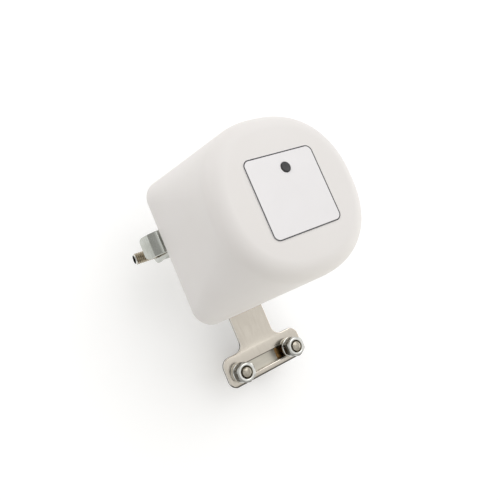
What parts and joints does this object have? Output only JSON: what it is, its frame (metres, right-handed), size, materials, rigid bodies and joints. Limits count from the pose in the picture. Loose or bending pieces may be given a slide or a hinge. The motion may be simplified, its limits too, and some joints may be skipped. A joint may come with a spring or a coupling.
{
  "type": "clamp-on valve actuator",
  "caption": "Clamp-on motor actuator for a water valve: rounded white housing, geared output arm that grips the valve handle, and a bent steel bracket with a pipe strap.",
  "frame": {"origin": "where the output shaft's axis crosses the plane of the housing's rear rim", "axes": "+Z along the output shaft and out of the front face, +X to the right of the front label, +Y towards the label's top edge"},
  "size_m": [0.0864, 0.1114, 0.1084],
  "materials": {
    "housing_white": "satin moulded plastic",
    "label_film": "smooth printed film",
    "black_plastic": "satin moulded plastic",
    "board_green": "solder mask",
    "radio_can": "pressed tin plate",
    "motor_can": "drawn steel",
    "gear_nylon": "moulded nylon",
    "bearing_brass": "turned",
    "ground_steel": "ground",
    "zinc_steel": "bright zinc plate",
    "arm_steel": "zinc plated strip",
    "grip_steel": "nickel plated",
    "bracket_nickel": "satin nickel plate"
  },
  "bodies": {
    "base": {"housing_shell": "housing_white", "rear_plate": "housing_white", "face_label": "label_film", "tact_switch": "black_plastic", "power_inlet": "black_plastic", "limit_switches": "black_plastic", "board_parts": "black_plastic", "control_board": "board_green", "radio_module": "radio_can", "motor": "motor_can", "rear_bush": "bearing_brass", "deck_bush": "bearing_brass", "idler_axle": "ground_steel", "gear_deck": "ground_steel", "rear_plate_screws": "zinc_steel", "board_screws": "zinc_steel", "inlet_nut": "zinc_steel", "deck_screws": "zinc_steel", "motor_screws": "zinc_steel", "bracket_screws": "zinc_steel", "clamp_bolts": "zinc_steel", "clamp_washers": "zinc_steel", "clamp_nuts": "zinc_steel", "pipe_bracket": "bracket_nickel", "clamp_jaw": "bracket_nickel", "pipe_strap": "bracket_nickel"},
    "output": {"output_gear": "gear_nylon", "output_shaft": "ground_steel", "shaft_clip": "ground_steel", "limit_cam": "black_plastic", "drive_arm": "arm_steel", "arm_washer": "zinc_steel", "arm_screw": "zinc_steel"},
    "grip": {"grip_screw": "grip_steel"},
    "idler": {"idler_gear": "gear_nylon"},
    "rotor": {"motor_shaft": "ground_steel", "motor_pinion": "bearing_brass"},
    "button": {"push_button": "black_plastic", "switch_plunger": "black_plastic"}
  },
  "joints": [
    {"name": "arm_turn", "type": "hinge", "parent": "base", "child": "output", "pos_m": [0, 0, 0], "axis": [0, 0, 1], "range_deg": [-90, 0]},
    {"name": "grip_feed", "type": "slide", "parent": "output", "child": "grip", "axis": [1, 0, 0], "range_m": [-0.005, 0.0045]},
    {"name": "idler_turn", "type": "hinge", "parent": "base", "child": "idler", "pos_m": [0, -0.024, 0], "axis": [0, 0, 1], "range_deg": [0, 360]},
    {"name": "rotor_turn", "type": "hinge", "parent": "base", "child": "rotor", "pos_m": [0.01638, -0.01253, 0], "axis": [0, 0, 1], "range_deg": [-1440, 0]},
    {"name": "button_press", "type": "slide", "parent": "base", "child": "button", "axis": [0, 0, -1], "range_m": [0, 0.0008], "stiffness_N_per_m": 600}
  ],
  "couplings": [
    {"joint": "idler_turn", "follows": "arm_turn", "ratio": -4},
    {"joint": "rotor_turn", "follows": "arm_turn", "ratio": 16}
  ]
}
